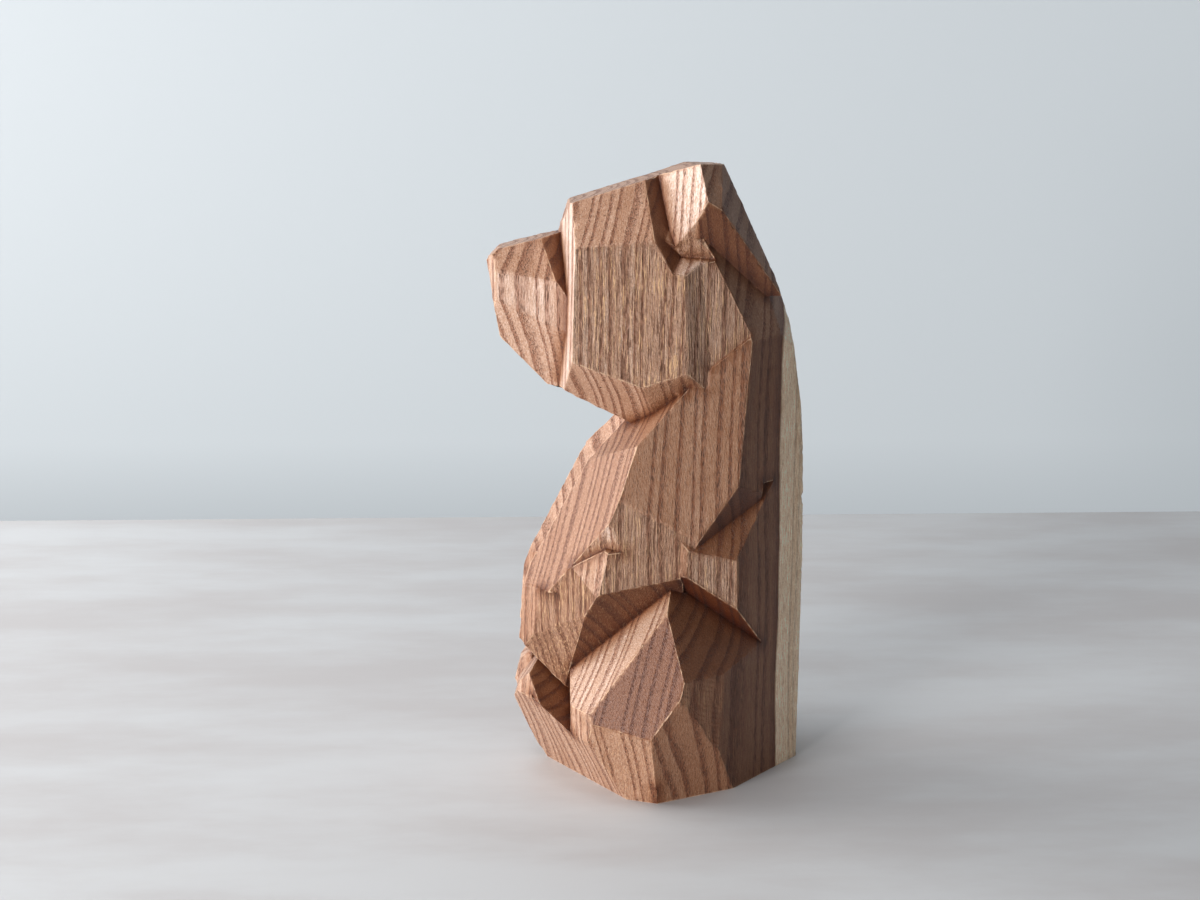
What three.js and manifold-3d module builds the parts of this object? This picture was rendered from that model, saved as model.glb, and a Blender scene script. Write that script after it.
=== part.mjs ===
// Knife-hewn wooden bear, sitting upright with its paws on its belly and its head held out in front.
// It is one block of wood. Every face is a flat left by one cut, and every hollow lies between such
// flats. Millimetres, +Z up. The bear looks along -Y and its left side is +X. The origin is the
// middle of the underside that it stands on.
import * as THREE from 'three';
import { mergeVertices } from 'three/addons/utils/BufferGeometryUtils.js';
import Module from 'manifold-3d';

// ---- driving dimensions -------------------------------------------------------------------------
const BILLET = 260;              // side of the squared billet that each mass is hewn out of
const FIGURE_HEIGHT = 181;       // underside to the top of the ears

// The middle of each mass, from which the depths of its cuts are measured.
const MUZZLE = at(0, -40, 138);
const HEAD = at(0, -8, 143);
const EAR = at(21, 5, 165);
const SPINE = at(0, 10, 90);
const BREAST = at(0, -8, 88);
const UPPER_ARM = at(18, 0, 95);
const FOREARM = at(18, -28, 58);
const LEG = at(22, -14, 38);
const FOOT = at(14, -36, 22);

const wasm = await Module();
wasm.setup();

// ---- the carver's tools -------------------------------------------------------------------------
function at(x, y, z) {
  return new THREE.Vector3(x, y, z);
}

// The direction that is turned so many degrees from straight ahead towards the bear's left, and
// tilted so many degrees up.
function facing(turn, tilt) {
  const ahead = at(0, -1, 0);
  ahead.applyAxisAngle(at(-1, 0, 0), THREE.MathUtils.degToRad(tilt));
  ahead.applyAxisAngle(at(0, 0, 1), THREE.MathUtils.degToRad(turn));
  return ahead;
}

function solidOf(geometry) {
  geometry.deleteAttribute('normal');
  geometry.deleteAttribute('uv');
  const merged = mergeVertices(geometry);
  const mesh = new wasm.Mesh({
    numProp: 3,
    vertProperties: new Float32Array(merged.attributes.position.array),
    triVerts: new Uint32Array(merged.index.array),
  });
  return new wasm.Manifold(mesh);
}

// A cut is [turn, tilt, depth, from]. The flat that it leaves faces that way, and lies depth mm from
// the point `from`, which is the middle of the mass unless the cut runs on from another one.
function waste(middle, [turn, tilt, depth, from = middle]) {
  const size = 3 * BILLET;
  const chip = new THREE.BoxGeometry(size, size, size);
  chip.translate(0, 0, depth + size / 2);
  chip.applyQuaternion(new THREE.Quaternion().setFromUnitVectors(at(0, 0, 1), facing(turn, tilt)));
  chip.translate(from.x, from.y, from.z);
  return solidOf(chip);
}

// A mass with flat faces: the billet after all of its cuts.
function hewn(middle, cuts) {
  const billet = new THREE.BoxGeometry(BILLET, BILLET, BILLET);
  billet.translate(middle.x, middle.y, middle.z);
  const mass = solidOf(billet);
  return Object.values(cuts).reduce((left, cut) => left.subtract(waste(middle, cut)), mass);
}

// A hollow lies in front of all of its walls, so its own flats are the walls turned about.
function hollow(middle, walls) {
  const about = ([turn, tilt, depth, from]) => [turn + 180, -tilt, -depth, from];
  return hewn(middle, mapCuts(walls, about));
}

function mapCuts(cuts, change) {
  return Object.fromEntries(Object.entries(cuts).map(([name, cut]) => [name, change(cut)]));
}

const mirrored = (point) => point && at(-point.x, point.y, point.z);
const otherSide = ([turn, tilt, depth, from]) => [-turn, tilt, depth, mirrored(from)];

// Cuts made on the left and repeated on the right of a mass that is the same on both sides.
function bothSides(cuts) {
  const right = Object.entries(cuts).map(([name, cut]) => [`right ${name}`, otherSide(cut)]);
  return { ...cuts, ...Object.fromEntries(right) };
}

// A limb or a hollow on the left, and its twin on the right.
function pair(shape, middle, cuts) {
  return [shape(middle, cuts), shape(mirrored(middle), mapCuts(cuts, otherSide))];
}

// ---- head ---------------------------------------------------------------------------------------
const muzzle = hewn(MUZZLE, {
  bridge: [0, 76, 21.1],
  'nose top': [0, 45, 21],
  nose: [0, -9, 11.2],
  lip: [0, -44, 11.7],
  throat: [0, -78, 19.2],
  ...bothSides({
    'upper bevel': [83, 21, 18.4],
    side: [80, 0, 15.3],
    'lower bevel': [70, -20, 13.8],
    'edge of nose': [24, 0, 15.8],
    'stop cut': [129, 29, 19.5],
  }),
  root: [180, 0, 18],
});

const poll = [0, 90, FIGURE_HEIGHT - SPINE.z, SPINE];
const nape = [180, 26.6, 43.8, SPINE];
const sideOfNape = [149, 16, 33.2, SPINE];
const sideOfShoulder = [138, 14.6, 31.2, SPINE];
const crown = [0, 73, 32.5, HEAD];

const head = hewn(HEAD, {
  poll,
  crown,
  nape,
  forehead: [0, 20, 30],
  chin: [0, -63, 34],
  rear: [180, 0, 20],
  ...bothSides({
    face: [12, 2, 26],
    cheek: [85, 1, 27],
    temple: [83, 23, 31],
    jaw: [68, -39, 35.3],
    'back of jaw': [97, -32, 35.4],
    'back of cheek': [126, 2, 28.4],
    sideOfNape,
    sideOfShoulder,
  }),
});

const frontOfEar = [48, 10, 4.4];
const lowerFrontOfEar = [88, -24, 5.1];
const endOfTemple = [133, 23, -5.4];

const ears = pair(hewn, EAR, {
  poll,
  crown,
  nape,
  frontOfEar,
  back: [134, 23, 8.9],
  lowerFrontOfEar,
  'lower back': [111, -22, 4.9],
  'side of nape': [149, 16, 9],
  inner: [-90, 0, 14],
  root: [0, -90, 22],
});

const earGrooves = pair(hollow, EAR, {
  frontOfEar,
  endOfTemple,
  floor: [120, 33, -4.2],
});

// A chip out of the side of the head lets the ear stand clear of it.
const chipsUnderEars = pair(hollow, EAR, {
  lowerFrontOfEar,
  endOfTemple,
  chip: [95, 48, -6.5],
});

// ---- trunk --------------------------------------------------------------------------------------
// The left of the back is one long flat from shoulder to floor. The right is hewn in two, and rounder.
const longFlat = [139, 1, 22.2, SPINE];

const back = {
  nape,
  shoulders: [180, 9, 32, SPINE],
  'middle of back': [180, 4, 30.6, SPINE],
  rump: [180, -1, 31.2, SPINE],
  longFlat,
  'right of back': [-152, 0, 27.5, SPINE],
  'right rear flat': [-127, 0, 26, SPINE],
  ...bothSides({ sideOfNape, sideOfShoulder }),
};

const neck = hewn(SPINE, {
  poll,
  ...back,
  front: [0, 0, 8],
  crown,
  ...bothSides({ 'side of neck': [110, 0, 21.5] }),
  foot: [0, -90, 1],
});

const haunch = [132.4, 25.7, 22, LEG];

const belly = hewn(SPINE, {
  ...back,
  front: [0, 0, 32],
  chest: [0, 27, 16],
  top: [0, 90, 0],
  ...bothSides({
    armpit: [116, 21, 17],
    flank: [110, 0, 26.8],
    'lower edge of flank': [70.4, -42.5, 40.3],
    'front of flank': [85, 0, 31.5],
    'front of belly': [40, 0, 30],
  }),
  foot: [0, -90, 80],
});

const breast = hewn(BREAST, {
  front: [0, 32, 7],
  ...bothSides({
    side: [60, 20, 14],
    'under arm': [90, 0, 14],
  }),
  top: [0, 90, 34],
  rear: [180, 0, 20],
  foot: [0, -90, 30],
});

// ---- arms ---------------------------------------------------------------------------------------
const outsideOfForearm = [102, -1, 18.3, FOREARM];
const underArm = [133, -16, 17.8, UPPER_ARM];
const topOfPaw = [30, 22, 10.2, FOREARM];
const frontOfPaw = [32, 2, 10.4, FOREARM];
const betweenPaws = [-40, 5, 16.5, FOREARM];
const underForearm = [107, -33, 13.6, FOREARM];

const upperArms = pair(hewn, UPPER_ARM, {
  side: [106, 6, 10.8],
  'upper front': [18, 46, 16.6],
  'lower front': [26, 25, 19.3],
  chip: [72, -14, 7.6, FOREARM],
  outsideOfForearm,
  underArm,
  longFlat,
  sideOfShoulder,
  shoulder: [84, 33, 19.3],
  top: [0, 90, 40],
  rear: [180, 0, 26],
  breast: [-45, 25, 18.8],
  topOfPaw,
  frontOfPaw,
  betweenPaws,
  underForearm,
  inner: [-90, 0, UPPER_ARM.x],
  elbow: [180, -60, 23],
  wrist: [0, -90, 36],
});

const forearms = pair(hewn, FOREARM, {
  topOfPaw,
  frontOfPaw,
  betweenPaws,
  top: [10, 54, 10.4],
  elbow: [95, 60, 22],
  outsideOfForearm,
  underArm,
  'side of paw': [46, -1, 9],
  underForearm,
  chip: [54, 9, 11.3],
  'end of paw': [56, -21, 11.2],
  inner: [-90, 0, FOREARM.x],
  under: [0, -45, 24],
  rear: [180, 0, 30],
});

// ---- legs, feet and the block they sit on -------------------------------------------------------
const underside = [0, -90, LEG.z, LEG];
const underFoot = [33, -29, 5, FOOT];
const foreSide = [67, -16, 22.25, LEG];

const legs = pair(hewn, LEG, {
  calf: [73, 18.7, 13.2],
  shin: [35, 35, 8.1],
  haunch,
  ankle: [33, -3, 18.5],
  front: [0, 0, 16.5],
  underFoot,
  foreSide,
  side: [115, -11, 25.5],
  'end of haunch': [131, 2, 24.9],
  longFlat,
  inner: [-90, 0, LEG.x],
  rear: [180, 0, 50],
  underside,
});

const block = hewn(SPINE, {
  ...back,
  underside,
  front: [0, 0, 22],
  top: [0, 90, -40],
  ...bothSides({
    haunch,
    side: [90, 0, 20],
  }),
});

const toes = pair(hewn, FOOT, {
  side: [37, 7, 7.8],
  front: [0, 17, 11],
  top: [0, 41, 11.7],
  back: [125, 40, 5],
  underFoot,
  sole: [0, -22, 10.6],
  inner: [-90, 0, FOOT.x],
  'inner front': [-50, 10, 11.9],
  underside,
});

const insteps = pair(hewn, FOOT, {
  top: [135, 62, 3.4],
  underFoot,
  foreSide,
  front: [0, 0, 6],
  sole: [0, -22, 10.6],
  inner: [-90, 0, FOOT.x],
  rear: [180, 0, 30],
  underside,
});

// ---- one solid ----------------------------------------------------------------------------------
const masses = [
  muzzle, head, ...ears, neck, belly, breast, ...upperArms, ...forearms, ...legs, block, ...toes,
  ...insteps,
];
const joined = masses.reduce((whole, mass) => whole.add(mass));
const hollows = [...earGrooves, ...chipsUnderEars];
const carved = hollows.reduce((whole, part) => whole.subtract(part), joined);

function geometryOf(solid) {
  const mesh = solid.getMesh();
  const geometry = new THREE.BufferGeometry();
  geometry.setAttribute('position', new THREE.BufferAttribute(mesh.vertProperties, 3));
  geometry.setIndex(new THREE.BufferAttribute(mesh.triVerts, 1));
  return geometry;
}

const elm = new THREE.MeshStandardMaterial({ color: 0x9a6f55, roughness: 0.62, metalness: 0 });
const bear = new THREE.Mesh(geometryOf(carved), elm);
bear.name = 'bear';

const group = new THREE.Group();
group.add(bear);
export default group;
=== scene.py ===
import math

import bmesh
import bpy
from mathutils import Matrix, Vector, kdtree, noise


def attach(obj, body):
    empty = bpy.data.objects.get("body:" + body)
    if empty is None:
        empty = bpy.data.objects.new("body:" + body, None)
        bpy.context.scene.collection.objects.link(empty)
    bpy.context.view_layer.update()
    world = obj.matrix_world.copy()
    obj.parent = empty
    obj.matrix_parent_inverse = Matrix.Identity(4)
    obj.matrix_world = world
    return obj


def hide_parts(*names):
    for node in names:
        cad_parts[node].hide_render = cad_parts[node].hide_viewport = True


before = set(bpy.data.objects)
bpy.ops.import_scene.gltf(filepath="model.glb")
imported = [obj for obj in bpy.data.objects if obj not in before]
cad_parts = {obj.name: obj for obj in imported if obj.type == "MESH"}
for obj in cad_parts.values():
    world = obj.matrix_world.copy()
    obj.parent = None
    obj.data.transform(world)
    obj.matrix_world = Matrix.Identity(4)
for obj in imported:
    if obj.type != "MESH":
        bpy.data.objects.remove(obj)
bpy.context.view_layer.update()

# ---- The hewn bear ------------------------------------------------------------------------------
# The whole figure is one block of wood, taken to be elm, hewn with a blade and oiled. Each flat is left
# by one cut. It is a little hollow, and rough where the grain tore.
MM = 0.001
hewn = bmesh.new()
hewn.from_mesh(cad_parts["bear"].data)
bmesh.ops.remove_doubles(hewn, verts=hewn.verts, dist=0.05 * MM)
bmesh.ops.dissolve_limit(
    hewn, angle_limit=math.radians(0.3), verts=hewn.verts, edges=hewn.edges, delimit={"NORMAL"}
)
bmesh.ops.recalc_face_normals(hewn, faces=hewn.faces)

flat_number = hewn.faces.layers.int.new("flat number")
flats = []
for face in hewn.faces:
    face[flat_number] = len(flats)
    flats.append({"normal": face.normal.copy(), "middle": face.calc_center_median()})


def chance(flat, salt):
    """A number from 0 to 1 that belongs to one flat."""
    where = flat["middle"] / MM * 0.37 + flat["normal"] * 11.0 + Vector((salt, salt * 1.7, 0.0))
    return 0.5 + 0.5 * max(-1.0, min(1.0, 1.6 * noise.noise(where)))


# What each named cut left behind, as (turn, tilt, tone, torn). Turn and tilt are the way it faces, in
# degrees, on the left and on its twin on the right, and repeat those of the solid. Tone is a factor on
# the colour of the flat, and it is painted light and shade: it is tuned for the light set up below, so a
# low one is painted shade for light that a deep cut loses and a high one is painted light. Torn is how
# far the grain is pulled up.
CUTS = {
    "cheek": (85.0, 1.0, 0.88, 1.0),
    "back of cheek": (126.0, 2.0, 0.88, 0.9),
    "temple": (83.0, 23.0, 0.80, 0.0),
    "face": (12.0, 2.0, 1.30, 0.0),
    "upper bevel of muzzle": (83.0, 21.0, 0.75, 0.0),
    "side of muzzle": (80.0, 0.0, 1.05, 0.0),
    "lower bevel of muzzle": (70.0, -20.0, 0.95, 0.0),
    "stop cut": (129.0, 29.0, 0.50, 0.0),
    "jaw": (68.0, -39.0, 0.80, 0.0),
    "back of jaw": (97.0, -32.0, 0.72, 0.2),
    "end of temple": (133.0, 23.0, 0.42, 0.0),
    "front of ear": (48.0, 10.0, 1.30, 0.0),
    "lower front of ear": (88.0, -24.0, 0.80, 0.4),
    "lower back of ear": (111.0, -22.0, 0.40, 0.0),
    "chip under ear": (95.0, 48.0, 1.30, 0.0),
    "side of neck": (110.0, 0.0, 0.92, 0.8),
    "side of nape": (149.0, 16.0, 0.70, 0.0),
    "side of shoulder": (138.0, 14.6, 0.72, 0.0),
    "top of breast": (18.0, 46.0, 0.66, 0.0),
    "side of breast": (60.0, 20.0, 0.70, 0.0),
    "side of upper arm": (106.0, 6.0, 0.76, 0.0),
    "front of upper arm": (26.0, 25.0, 0.54, 0.0),
    "chip on arm": (72.0, -14.0, 1.15, 0.4),
    "armpit": (116.0, 21.0, 0.55, 0.0),
    "front of flank": (85.0, 0.0, 0.70, 0.3),
    "lower edge of flank": (70.4, -42.5, 0.21, 0.0),
    "long flat of back": (139.0, 1.0, 0.50, 0.15),
    "under the upper arm": (133.0, -16.0, 0.32, 0.0),
    "under the forearm": (107.0, -33.0, 0.30, 0.2),
    "outside of forearm": (102.0, -1.0, 0.84, 0.8),
    "top of paw": (30.0, 22.0, 0.64, 0.0),
    "front of paw": (32.0, 2.0, 0.72, 0.1),
    "chip on forearm": (54.0, 9.0, 0.95, 0.2),
    "side of paw": (46.0, -1.0, 0.72, 0.9),
    "end of paw": (56.0, -21.0, 0.66, 0.6),
    "shin": (35.0, 35.0, 1.00, 0.0),
    "calf": (73.0, 18.7, 0.36, 0.0),
    "haunch": (132.4, 25.7, 0.42, 0.0),
    "end of haunch": (131.0, 2.0, 0.62, 0.3),
    "back of thigh": (115.0, -11.0, 0.62, 0.0),
    "side of foot": (67.0, -16.0, 0.74, 0.2),
    "hollow of foot": (125.0, 40.0, 0.42, 0.0),
    "instep": (135.0, 62.0, 0.40, 0.0),
}
RIPPLED = ("cheek", "end of haunch", "lower bevel of muzzle")
SAME_WAY = 0.6          # degrees within which a flat is taken for a named cut
TONE_OF_OTHERS = 0.85
for flat in flats:
    turn = abs(math.degrees(math.atan2(flat["normal"].x, -flat["normal"].y)))
    tilt = math.degrees(math.asin(max(-1.0, min(1.0, flat["normal"].z))))
    flat["tone"], flat["torn"], flat["rippled"] = TONE_OF_OTHERS, 0.0, 0.0
    for name, (cut_turn, cut_tilt, cut_tone, cut_torn) in CUTS.items():
        if abs(turn - cut_turn) < SAME_WAY and abs(tilt - cut_tilt) < SAME_WAY:
            flat["tone"], flat["torn"] = cut_tone, cut_torn
            flat["rippled"] = 1.0 if name in RIPPLED else 0.0
    flat["tone"] *= 0.94 + 0.12 * chance(flat, 7.7)

# The flats are divided until every edge is short enough to take the marks.
EDGE_LENGTH = 1.4 * MM
MOST_HALVINGS = 8
bmesh.ops.triangulate(hewn, faces=hewn.faces)
for halving in range(MOST_HALVINGS):
    long_edges = [edge for edge in hewn.edges if edge.calc_length() > EDGE_LENGTH]
    if not long_edges:
        break
    bmesh.ops.subdivide_edges(hewn, edges=long_edges, cuts=1)
    bmesh.ops.triangulate(hewn, faces=[face for face in hewn.faces if len(face.verts) > 3])

# ---- marks of the blade
arris = {}
grooves = {}
for edge in hewn.edges:
    if len(edge.link_faces) != 2:
        continue
    one, other = edge.link_faces
    if one[flat_number] == other[flat_number]:
        continue
    turn = one.normal.angle(other.normal, 0.0)
    convex = edge.is_convex
    for vert in edge.verts:
        if not convex:
            grooves[vert.index] = max(grooves.get(vert.index, 0.0), turn)
        known = arris.get(vert.index, (0.0, True))
        arris[vert.index] = (max(known[0], turn), known[1] and convex)
hewn.verts.ensure_lookup_table()
corners = kdtree.KDTree(len(arris))
for index in arris:
    corners.insert(hewn.verts[index].co, index)
corners.balance()
seams = kdtree.KDTree(len(grooves))
for index in grooves:
    seams.insert(hewn.verts[index].co, index)
seams.balance()

# This share dulls and nicks the convex edges, and in the colour it also paints a highlight along them.
edge_wear_and_highlight = hewn.verts.layers.float.new("edge wear and painted highlight")
torn = hewn.verts.layers.float.new("torn grain")
tone = hewn.verts.layers.float.new("tone and painted light of flat")
groove_shade = hewn.verts.layers.float.new("painted shade in groove")
chatter = hewn.verts.layers.float.new("chatter")
GROOVE_SHADE_REACH = 4.5 * MM                  # how far the painted shade spreads out of a groove
SHALLOW_GROOVE = math.radians(14.0)     # a groove bent less than this gets no painted shade
GROOVE_RANGE = math.radians(56.0)       # and one bent so much more gets the darkest painted shade
HOLLOW_RIM = 5.0 * MM                   # from an edge to where a flat is fully hollow
HOLLOW = 0.22 * MM
WAVE = 0.50 * MM
NICK = 0.45 * MM
DULLING = 0.06 * MM
FURROW = 0.09 * MM
FULL_WEAR = math.radians(35.0)          # an edge bent this much is fully worn
moves = []
for vert in hewn.verts:
    place = vert.co / MM
    around = [flats[face[flat_number]] for face in vert.link_faces]
    flat = around[0]
    vert[torn] = sum(near["torn"] for near in around) / len(around)
    vert[tone] = sum(near["tone"] for near in around) / len(around)
    vert[chatter] = max(near["rippled"] for near in around)
    # Painted shade: a vertex near a deep concave seam gets a share of darkening that fades away from the
    # groove.
    seam = seams.find(vert.co)
    deep = max(0.0, min(1.0, (grooves[seam[1]] - SHALLOW_GROOVE) / GROOVE_RANGE))
    vert[groove_shade] = deep * max(0.0, 1.0 - seam[2] / GROOVE_SHADE_REACH) ** 1.5
    reach = corners.find(vert.co)[2]
    inside = min(1.0, reach / HOLLOW_RIM)
    inside = inside * inside * (3.0 - 2.0 * inside)
    own = Vector((flat["tone"] * 40.0, flat["middle"].z * 300.0, 0.0))
    depth = HOLLOW * inside * (noise.noise(place * 0.075 + own) - 0.35)
    furrow = noise.noise(Vector((place.x * 0.9, place.y * 0.9, place.z * 0.09)))
    depth += FURROW * furrow * vert[torn]
    if vert.index in arris:
        turn, convex = arris[vert.index]
        wave = noise.noise(place * 0.33) + 0.5 * noise.noise(place * 0.9)
        depth += WAVE * wave * 0.5
        if convex:
            vert[edge_wear_and_highlight] = min(1.0, turn / FULL_WEAR)
            nick = max(0.0, noise.noise(place * 0.55 + Vector((9.0, 2.0, 5.0))) - 0.28)
            depth -= (DULLING + NICK * nick * 2.0) * vert[edge_wear_and_highlight]
    if place.z < 0.02:
        depth = 0.0
    moves.append(vert.normal * depth)
for vert, move in zip(hewn.verts, moves):
    vert.co += move
    vert.co.z = max(0.0, vert.co.z)

SHARP = math.radians(9.0)
for edge in hewn.edges:
    if len(edge.link_faces) != 2:
        continue
    one, other = edge.link_faces
    way, other_way = flats[one[flat_number]]["normal"], flats[other[flat_number]]["normal"]
    edge.smooth = one[flat_number] == other[flat_number] or way.angle(other_way) < SHARP
for face in hewn.faces:
    face.smooth = True
bear_mesh = bpy.data.meshes.new("hewn_bear")
hewn.to_mesh(bear_mesh)
hewn.free()
bear = bpy.data.objects.new("hewn_bear", bear_mesh)
bpy.context.scene.collection.objects.link(bear)


def add(tree, kind, place, settings=None, **inputs):
    """Adds a node. An input is a plain value, or the socket that feeds it."""
    node = tree.nodes.new(kind)
    node.location = place
    for name, value in (settings or {}).items():
        setattr(node, name, value)
    for name, value in inputs.items():
        socket = node.inputs[int(name[1:])] if name[0] == "i" and name[1:].isdigit() else node.inputs[name]
        if isinstance(value, bpy.types.NodeSocket):
            tree.links.new(value, socket)
        else:
            socket.default_value = value
    return node


def calc(tree, operation, first, second=0.0, third=0.0, clamp=False):
    """One step of arithmetic between values."""
    node = add(
        tree, "ShaderNodeMath", (0, 0), {"operation": operation, "use_clamp": clamp},
        i0=first, i1=second, i2=third,
    )
    return node.outputs[0]


def ramp(tree, value, low, high, at_low=0.0, at_high=1.0):
    """A smooth step of a value between two limits."""
    node = add(
        tree, "ShaderNodeMapRange", (0, 0), {"interpolation_type": "SMOOTHSTEP"},
        i0=value, i1=low, i2=high, i3=at_low, i4=at_high,
    )
    return node.outputs[0]


def stretched(tree, place, across, along):
    """Coordinates in mm, divided by one size across the grain and another along it."""
    node = add(
        tree, "ShaderNodeVectorMath", (0, 0), {"operation": "MULTIPLY"},
        i0=place, i1=(1.0 / across, 1.0 / across, 1.0 / along),
    )
    return node.outputs[0]


def cloud(tree, place, detail=2.0, rough=0.5):
    """Soft noise from 0 to 1."""
    node = add(tree, "ShaderNodeTexNoise", (0, 0), Vector=place, Scale=1.0, Detail=detail, Roughness=rough)
    return node.outputs[0]


def blend(tree, share, first, second, mode="MIX"):
    """A mix of two colours."""
    node = add(
        tree, "ShaderNodeMix", (0, 0), {"data_type": "RGBA", "blend_type": mode},
        i0=share, i6=first, i7=second,
    )
    return node.outputs[2]


# Growth rings stand on a pith in front of the nose. Elm starts each ring with a band of wide pores.
PITH = (-4.0, -60.0, 0.0)
growth = bpy.data.node_groups.new("elm growth rings", "ShaderNodeTree")
growth.interface.new_socket("Place", in_out="INPUT", socket_type="NodeSocketVector")
growth.interface.new_socket("Ring Width", in_out="INPUT", socket_type="NodeSocketFloat")
growth.interface.new_socket("Early Wood", in_out="OUTPUT", socket_type="NodeSocketFloat")
growth.interface.new_socket("Radius", in_out="OUTPUT", socket_type="NodeSocketFloat")
growth.interface.new_socket("Ring Tone", in_out="OUTPUT", socket_type="NodeSocketFloat")
g_in = growth.nodes.new("NodeGroupInput")
g_out = growth.nodes.new("NodeGroupOutput")
place = g_in.outputs["Place"]
bend = add(
    growth, "ShaderNodeTexNoise", (0, 0),
    Vector=stretched(growth, place, 28.0, 90.0), Scale=1.0, Detail=1.0,
)
bend_out = add(growth, "ShaderNodeVectorMath", (0, 0), {"operation": "MULTIPLY_ADD"},
               i0=bend.outputs[1], i1=(5.0, 5.0, 0.0), i2=(-2.5 - PITH[0], -2.5 - PITH[1], 0.0))
from_pith = add(
    growth, "ShaderNodeVectorMath", (0, 0), {"operation": "ADD"},
    i0=place, i1=bend_out.outputs[0],
)
flat_out = add(growth, "ShaderNodeVectorMath", (0, 0), {"operation": "MULTIPLY"},
               i0=from_pith.outputs[0], i1=(1.0, 1.0, 0.0))
length = add(growth, "ShaderNodeVectorMath", (0, 0), {"operation": "LENGTH"}, i0=flat_out.outputs[0])
radius = length.outputs[1]
jitter = calc(growth, "MULTIPLY_ADD", cloud(growth, stretched(growth, place, 2.6, 18.0), 3.0), 0.7, -0.35)
radius_j = calc(growth, "ADD", radius, jitter)
slow = add(
    growth, "ShaderNodeTexNoise", (0, 0), {"noise_dimensions": "1D"},
    W=radius, Scale=0.13, Detail=1.0,
).outputs[0]
even_count = calc(growth, "DIVIDE", radius_j, g_in.outputs["Ring Width"])
count = calc(growth, "ADD", even_count, calc(growth, "MULTIPLY", slow, 2.4))
phase = calc(growth, "FRACT", count)
onset = ramp(growth, phase, 0.0, 0.10)
fade = ramp(growth, phase, 0.14, 0.62, 1.0, 0.0)
early = calc(growth, "MULTIPLY", onset, fade)
number = calc(growth, "FLOOR", count)
ring_tone = add(growth, "ShaderNodeTexWhiteNoise", (0, 0), {"noise_dimensions": "1D"}, W=number).outputs[0]
growth.links.new(early, g_out.inputs["Early Wood"])
growth.links.new(radius_j, g_out.inputs["Radius"])
growth.links.new(ring_tone, g_out.inputs["Ring Tone"])

# Pores are long thin vessels along the grain. They show as dashes on a flat that follows it and as
# dots on one that crosses it.
pores = bpy.data.node_groups.new("elm pores", "ShaderNodeTree")
pores.interface.new_socket("Place", in_out="INPUT", socket_type="NodeSocketVector")
pores.interface.new_socket("Width", in_out="INPUT", socket_type="NodeSocketFloat")
pores.interface.new_socket("Length", in_out="INPUT", socket_type="NodeSocketFloat")
pores.interface.new_socket("Fill", in_out="INPUT", socket_type="NodeSocketFloat")
pores.interface.new_socket("Pore", in_out="OUTPUT", socket_type="NodeSocketFloat")
g_in = pores.nodes.new("NodeGroupInput")
g_out = pores.nodes.new("NodeGroupOutput")
size = add(
    pores, "ShaderNodeCombineXYZ", (0, 0),
    X=g_in.outputs["Width"], Y=g_in.outputs["Width"], Z=g_in.outputs["Length"],
)
cells = add(
    pores, "ShaderNodeVectorMath", (0, 0), {"operation": "DIVIDE"},
    i0=g_in.outputs["Place"], i1=size.outputs[0],
)
dots = add(pores, "ShaderNodeTexVoronoi", (0, 0), {"feature": "F1"}, Vector=cells.outputs[0], Scale=1.0)
lot = add(pores, "ShaderNodeSeparateColor", (0, 0), i0=dots.outputs["Color"]).outputs[0]
present = calc(pores, "LESS_THAN", lot, g_in.outputs["Fill"])
pore = calc(pores, "MULTIPLY", ramp(pores, dots.outputs["Distance"], 0.22, 0.5, 1.0, 0.0), present)
pores.links.new(pore, g_out.inputs["Pore"])

LATE = (0.480, 0.298, 0.210, 1.0)
EARLY = (0.262, 0.112, 0.062, 1.0)
PORE = (0.070, 0.026, 0.013, 1.0)
SAP_LATE = (0.850, 0.600, 0.390, 1.0)
SAP_EARLY = (0.680, 0.460, 0.290, 1.0)
# The pale colour of convex edges: partly wear and partly a painted highlight along the arrises.
WORN_AND_HIGHLIT = (0.680, 0.450, 0.290, 1.0)
STRAW = (0.700, 0.430, 0.235, 1.0)
TORN = (0.150, 0.062, 0.030, 1.0)
RING_WIDTH = 3.0
HEART_RADIUS = 93.0
RIPPLES = 2.0 * math.pi / 1.3
SAP_TONE = 1.15
GREEN_POWER = 1.56      # a darker tone is also a redder one
BLUE_POWER = 2.10

elm = bpy.data.materials.new("oiled elm")
elm.use_nodes = True
tree = elm.node_tree
tree.nodes.clear()
where = add(tree, "ShaderNodeTexCoord", (0, 0)).outputs["Object"]
place = add(tree, "ShaderNodeVectorMath", (0, 0), {"operation": "SCALE"}, i0=where, Scale=1000.0).outputs[0]
rings = add(tree, "ShaderNodeGroup", (0, 0), {"node_tree": growth}, Place=place)
rings.inputs["Ring Width"].default_value = RING_WIDTH
early = rings.outputs["Early Wood"]
radius = rings.outputs["Radius"]
wide = add(
    tree, "ShaderNodeGroup", (0, 0), {"node_tree": pores},
    Place=place, Width=0.27, Length=3.2, Fill=0.85,
).outputs[0]
fine = add(
    tree, "ShaderNodeGroup", (0, 0), {"node_tree": pores},
    Place=place, Width=0.22, Length=1.8, Fill=0.40,
).outputs[0]
torn_share = add(tree, "ShaderNodeAttribute", (0, 0), {"attribute_name": "torn grain"}).outputs["Fac"]
edge_wear_and_highlight_share = add(tree, "ShaderNodeAttribute", (0, 0), {"attribute_name": "edge wear and painted highlight"}).outputs["Fac"]
tone_and_light_share = add(tree, "ShaderNodeAttribute", (0, 0), {"attribute_name": "tone and painted light of flat"}).outputs["Fac"]
fibre = cloud(tree, stretched(tree, place, 0.34, 4.0), 3.0, 0.65)
crinkle = add(
    tree, "ShaderNodeTexNoise", (0, 0),
    Vector=stretched(tree, place, 1.3, 3.2), Scale=1.0, Detail=1.0,
).outputs[1]
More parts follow.
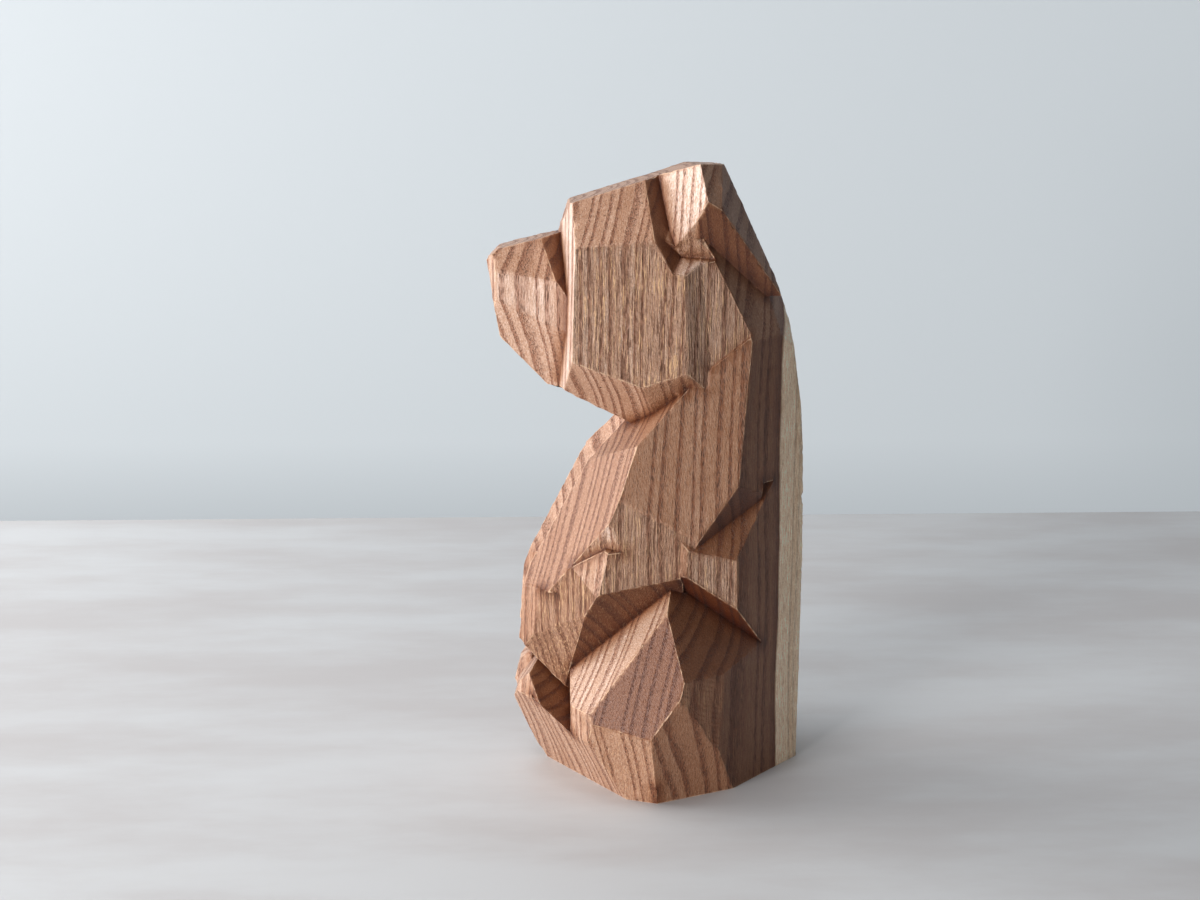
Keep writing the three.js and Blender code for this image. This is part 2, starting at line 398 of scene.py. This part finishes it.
bent = add(
    tree, "ShaderNodeVectorMath", (0, 0), {"operation": "MULTIPLY_ADD"},
    i0=crinkle, i1=(0.55, 0.55, 0.0), i2=place,
).outputs[0]
streak = cloud(tree, stretched(tree, bent, 0.55, 13.0), 4.0, 0.72)
patch = cloud(tree, stretched(tree, place, 9.0, 16.0), 2.0)
sap = ramp(tree, radius, HEART_RADIUS - 0.2, HEART_RADIUS + 0.5)
near_sap = ramp(tree, radius, HEART_RADIUS - 2.4, HEART_RADIUS - 0.6)
heart_edge = calc(tree, "MULTIPLY", near_sap, calc(tree, "SUBTRACT", 1.0, sap))

late_colour = blend(tree, sap, LATE, SAP_LATE)
early_colour = blend(tree, sap, EARLY, SAP_EARLY)
gaps = ramp(tree, cloud(tree, stretched(tree, place, 0.5, 3.5), 2.0), 0.28, 0.62, 0.45, 1.0)
broken = calc(tree, "MULTIPLY", early, gaps)
base = blend(tree, broken, late_colour, early_colour)
base = blend(tree, calc(tree, "MULTIPLY", heart_edge, 0.75), base, EARLY)
tick = cloud(tree, stretched(tree, place, 0.42, 0.55), 2.0, 0.8)
shade = calc(tree, "MULTIPLY_ADD", fibre, 1.25, 0.40)
shade = calc(tree, "MULTIPLY", shade, calc(tree, "MULTIPLY_ADD", tick, 0.70, 0.65))
shade = calc(tree, "MULTIPLY", shade, calc(tree, "MULTIPLY_ADD", rings.outputs["Ring Tone"], 0.16, 0.92))
# Painted light and shade of each flat in the heartwood, and the sapwood's own lighter tone in the sapwood.
tone_and_painted_light = add(
    tree, "ShaderNodeMix", (0, 0), {"data_type": "FLOAT"},
    i0=sap, i2=tone_and_light_share, i3=SAP_TONE,
).outputs[0]
shade = calc(tree, "MULTIPLY", shade, tone_and_painted_light)
# Painted shade in the grooves: the colour is darkened by up to 0.72 near deep concave seams.
groove_shade_share = add(tree, "ShaderNodeAttribute", (0, 0), {"attribute_name": "painted shade in groove"}).outputs["Fac"]
shade = calc(tree, "MULTIPLY", shade, calc(tree, "MULTIPLY_ADD", groove_shade_share, -0.72, 1.0))
shade = calc(tree, "MULTIPLY", shade, calc(tree, "MULTIPLY_ADD", patch, 0.20, 0.90))
shade_green = calc(tree, "POWER", shade, GREEN_POWER)
shade_blue = calc(tree, "POWER", shade, BLUE_POWER)
depth_of_tone = add(
    tree, "ShaderNodeCombineColor", (0, 0), i0=shade, i1=shade_green, i2=shade_blue,
).outputs[0]
base = blend(tree, 1.0, base, depth_of_tone, "MULTIPLY")
crack_lines = calc(tree, "MULTIPLY", ramp(tree, streak, 0.53, 0.62), torn_share)
light_lines = calc(tree, "MULTIPLY", ramp(tree, streak, 0.46, 0.38), torn_share)
base = blend(tree, calc(tree, "MULTIPLY", crack_lines, 0.92), base, TORN)
base = blend(tree, calc(tree, "MULTIPLY", light_lines, 0.85), base, STRAW)
early_pores = calc(tree, "MULTIPLY", wide, ramp(tree, early, 0.15, 0.55))
all_pores = calc(tree, "MAXIMUM", early_pores, calc(tree, "MULTIPLY", fine, 0.5))
pore_strength = calc(tree, "MULTIPLY_ADD", sap, -0.55, 0.85)
base = blend(tree, calc(tree, "MULTIPLY", all_pores, pore_strength), base, PORE)
# Convex edges are paled in patches, partly as wear and partly as a painted highlight.
worn_and_highlit = ramp(tree, edge_wear_and_highlight_share, 0.60, 1.0)
worn_and_highlit_here = ramp(tree, cloud(tree, stretched(tree, place, 1.8, 2.4), 2.0), 0.40, 0.62, 0.10, 0.75)
worn_and_highlit = calc(tree, "MULTIPLY", worn_and_highlit, worn_and_highlit_here)
base = blend(tree, worn_and_highlit, base, WORN_AND_HIGHLIT)

ripple_way = add(
    tree, "ShaderNodeVectorMath", (0, 0), {"operation": "DOT_PRODUCT"},
    i0=place, i1=(0.0, 0.45, 0.89),
)
ripple_turn = calc(tree, "MULTIPLY_ADD", patch, 3.0, calc(tree, "MULTIPLY", ripple_way.outputs[1], RIPPLES))
ripple_share = add(tree, "ShaderNodeAttribute", (0, 0), {"attribute_name": "chatter"}).outputs["Fac"]
ripple = calc(tree, "MULTIPLY", calc(tree, "SINE", ripple_turn), ripple_share)
rippled_here = ramp(tree, cloud(tree, stretched(tree, place, 6.0, 6.0), 1.0), 0.42, 0.58)
ripple = calc(tree, "MULTIPLY", ripple, rippled_here)
height = calc(tree, "MULTIPLY", early, -0.03)
height = calc(tree, "ADD", height, calc(tree, "MULTIPLY", ripple, 0.05))
height = calc(tree, "ADD", height, calc(tree, "MULTIPLY", tick, 0.16))
height = calc(tree, "ADD", height, calc(tree, "MULTIPLY", all_pores, -0.10))
height = calc(tree, "ADD", height, calc(tree, "MULTIPLY", fibre, 0.12))
height = calc(tree, "ADD", height, calc(tree, "MULTIPLY", calc(tree, "MULTIPLY", streak, torn_share), -1.6))
bump = add(tree, "ShaderNodeBump", (0, 0), Strength=0.9, Distance=MM, Height=height)
rough = calc(tree, "MULTIPLY_ADD", all_pores, 0.25, 0.38)
rough = calc(tree, "ADD", rough, calc(tree, "MULTIPLY", torn_share, 0.22))
rough = calc(tree, "ADD", rough, calc(tree, "MULTIPLY", fibre, 0.10))
shader = add(tree, "ShaderNodeBsdfPrincipled", (0, 0), Roughness=rough, Normal=bump.outputs[0])
shader.inputs["Specular IOR Level"].default_value = 0.45
tree.links.new(base, shader.inputs["Base Color"])
output = tree.nodes.new("ShaderNodeOutputMaterial")
tree.links.new(shader.outputs[0], output.inputs["Surface"])
bear_mesh.materials.append(elm)

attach(bear, "root")
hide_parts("bear")

# ---- The table and the wall behind it -------------------------------------------------------------
# A pale painted table top, and a pale blue-grey wall 0.27 m behind its far edge that glows a little.
table_mesh = bpy.data.meshes.new("table")
top = bmesh.new()
bmesh.ops.create_grid(top, x_segments=1, y_segments=1, size=1.0)
bmesh.ops.scale(top, vec=(0.43, 1.10, 1.0), verts=top.verts)
bmesh.ops.translate(top, vec=(0.10, 0.0, 0.0), verts=top.verts)
top.to_mesh(table_mesh)
top.free()
table = bpy.data.objects.new("table", table_mesh)
bpy.context.scene.collection.objects.link(table)
wall_mesh = bpy.data.meshes.new("wall")
back = bmesh.new()
bmesh.ops.create_grid(back, x_segments=1, y_segments=1, size=1.6)
bmesh.ops.rotate(back, matrix=Matrix.Rotation(math.radians(90.0), 3, "Y"), verts=back.verts)
bmesh.ops.translate(back, vec=(-0.60, 0.0, 0.4), verts=back.verts)
back.to_mesh(wall_mesh)
back.free()
wall = bpy.data.objects.new("wall", wall_mesh)
bpy.context.scene.collection.objects.link(wall)
table_paint = bpy.data.materials.new("table paint")
table_paint.use_nodes = True
tree = table_paint.node_tree
where = add(tree, "ShaderNodeTexCoord", (0, 0)).outputs["Object"]
drawn = add(
    tree, "ShaderNodeVectorMath", (0, 0), {"operation": "MULTIPLY"},
    i0=where, i1=(16.0, 5.0, 1.0),
).outputs[0]
brushed = ramp(tree, cloud(tree, drawn, 6.0, 0.62), 0.36, 0.66)
tint = blend(tree, brushed, (0.50, 0.485, 0.490, 1.0), (0.575, 0.585, 0.600, 1.0))
tree.links.new(tint, tree.nodes["Principled BSDF"].inputs["Base Color"])
tree.nodes["Principled BSDF"].inputs["Roughness"].default_value = 0.6
table_mesh.materials.append(table_paint)
wall_paint = bpy.data.materials.new("wall paint")
wall_paint.use_nodes = True
wall_look = wall_paint.node_tree.nodes["Principled BSDF"]
wall_look.inputs["Base Color"].default_value = (0.30, 0.32, 0.335, 1.0)
wall_look.inputs["Roughness"].default_value = 0.8
wall_look.inputs["Emission Color"].default_value = (0.86, 0.94, 1.0, 1.0)
wall_look.inputs["Emission Strength"].default_value = 0.40
wall_mesh.materials.append(wall_paint)

# ---- The light and the camera -----------------------------------------------------------------------
# A wide window in front of the bear, a lamp on the camera's side, a weak ceiling and a dim pale room.
sky = bpy.data.worlds.new("room")
sky.use_nodes = True
sky.node_tree.nodes["Background"].inputs["Color"].default_value = (1.0, 0.98, 0.95, 1.0)
sky.node_tree.nodes["Background"].inputs["Strength"].default_value = 0.10
bpy.context.scene.world = sky
bpy.context.scene.view_settings.view_transform = "Standard"


def lamp(name, place, aim, size, power, colour):
    """A soft square light at a place, turned towards a point."""
    data = bpy.data.lights.new(name, "AREA")
    data.shape = "RECTANGLE"
    data.size, data.size_y = size
    data.energy = power
    data.color = colour
    thing = bpy.data.objects.new(name, data)
    thing.location = place
    thing.rotation_euler = (Vector(aim) - Vector(place)).to_track_quat("-Z", "Y").to_euler()
    bpy.context.scene.collection.objects.link(thing)


lamp("window", (-0.30, -0.90, 0.45), (0.0, 0.0, 0.09), (0.9, 0.6), 10.0, (1.0, 0.98, 0.96))
lamp("room side", (0.82, -0.76, 0.22), (0.0, 0.0, 0.07), (0.45, 0.35), 16.0, (1.0, 0.98, 0.96))
lamp("ceiling", (0.05, -0.25, 1.25), (0.0, 0.0, 0.0), (0.6, 0.6), 4.0, (0.96, 0.98, 1.0))

AIM_TURN = math.radians(2.0)
AIM_DROP = math.radians(10.7)
eye = Vector((0.490, -0.0381, 0.189))
looking = Vector((
    -math.cos(AIM_TURN) * math.cos(AIM_DROP), math.sin(AIM_TURN) * math.cos(AIM_DROP), -math.sin(AIM_DROP)
))
lens = bpy.data.cameras.new("camera")
lens.lens = 50.0
lens.sensor_width = 36.0
lens.clip_start = 0.02
camera = bpy.data.objects.new("camera", lens)
camera.location = eye
camera.rotation_euler = looking.to_track_quat("-Z", "Y").to_euler()
bpy.context.scene.collection.objects.link(camera)
bpy.context.scene.camera = camera
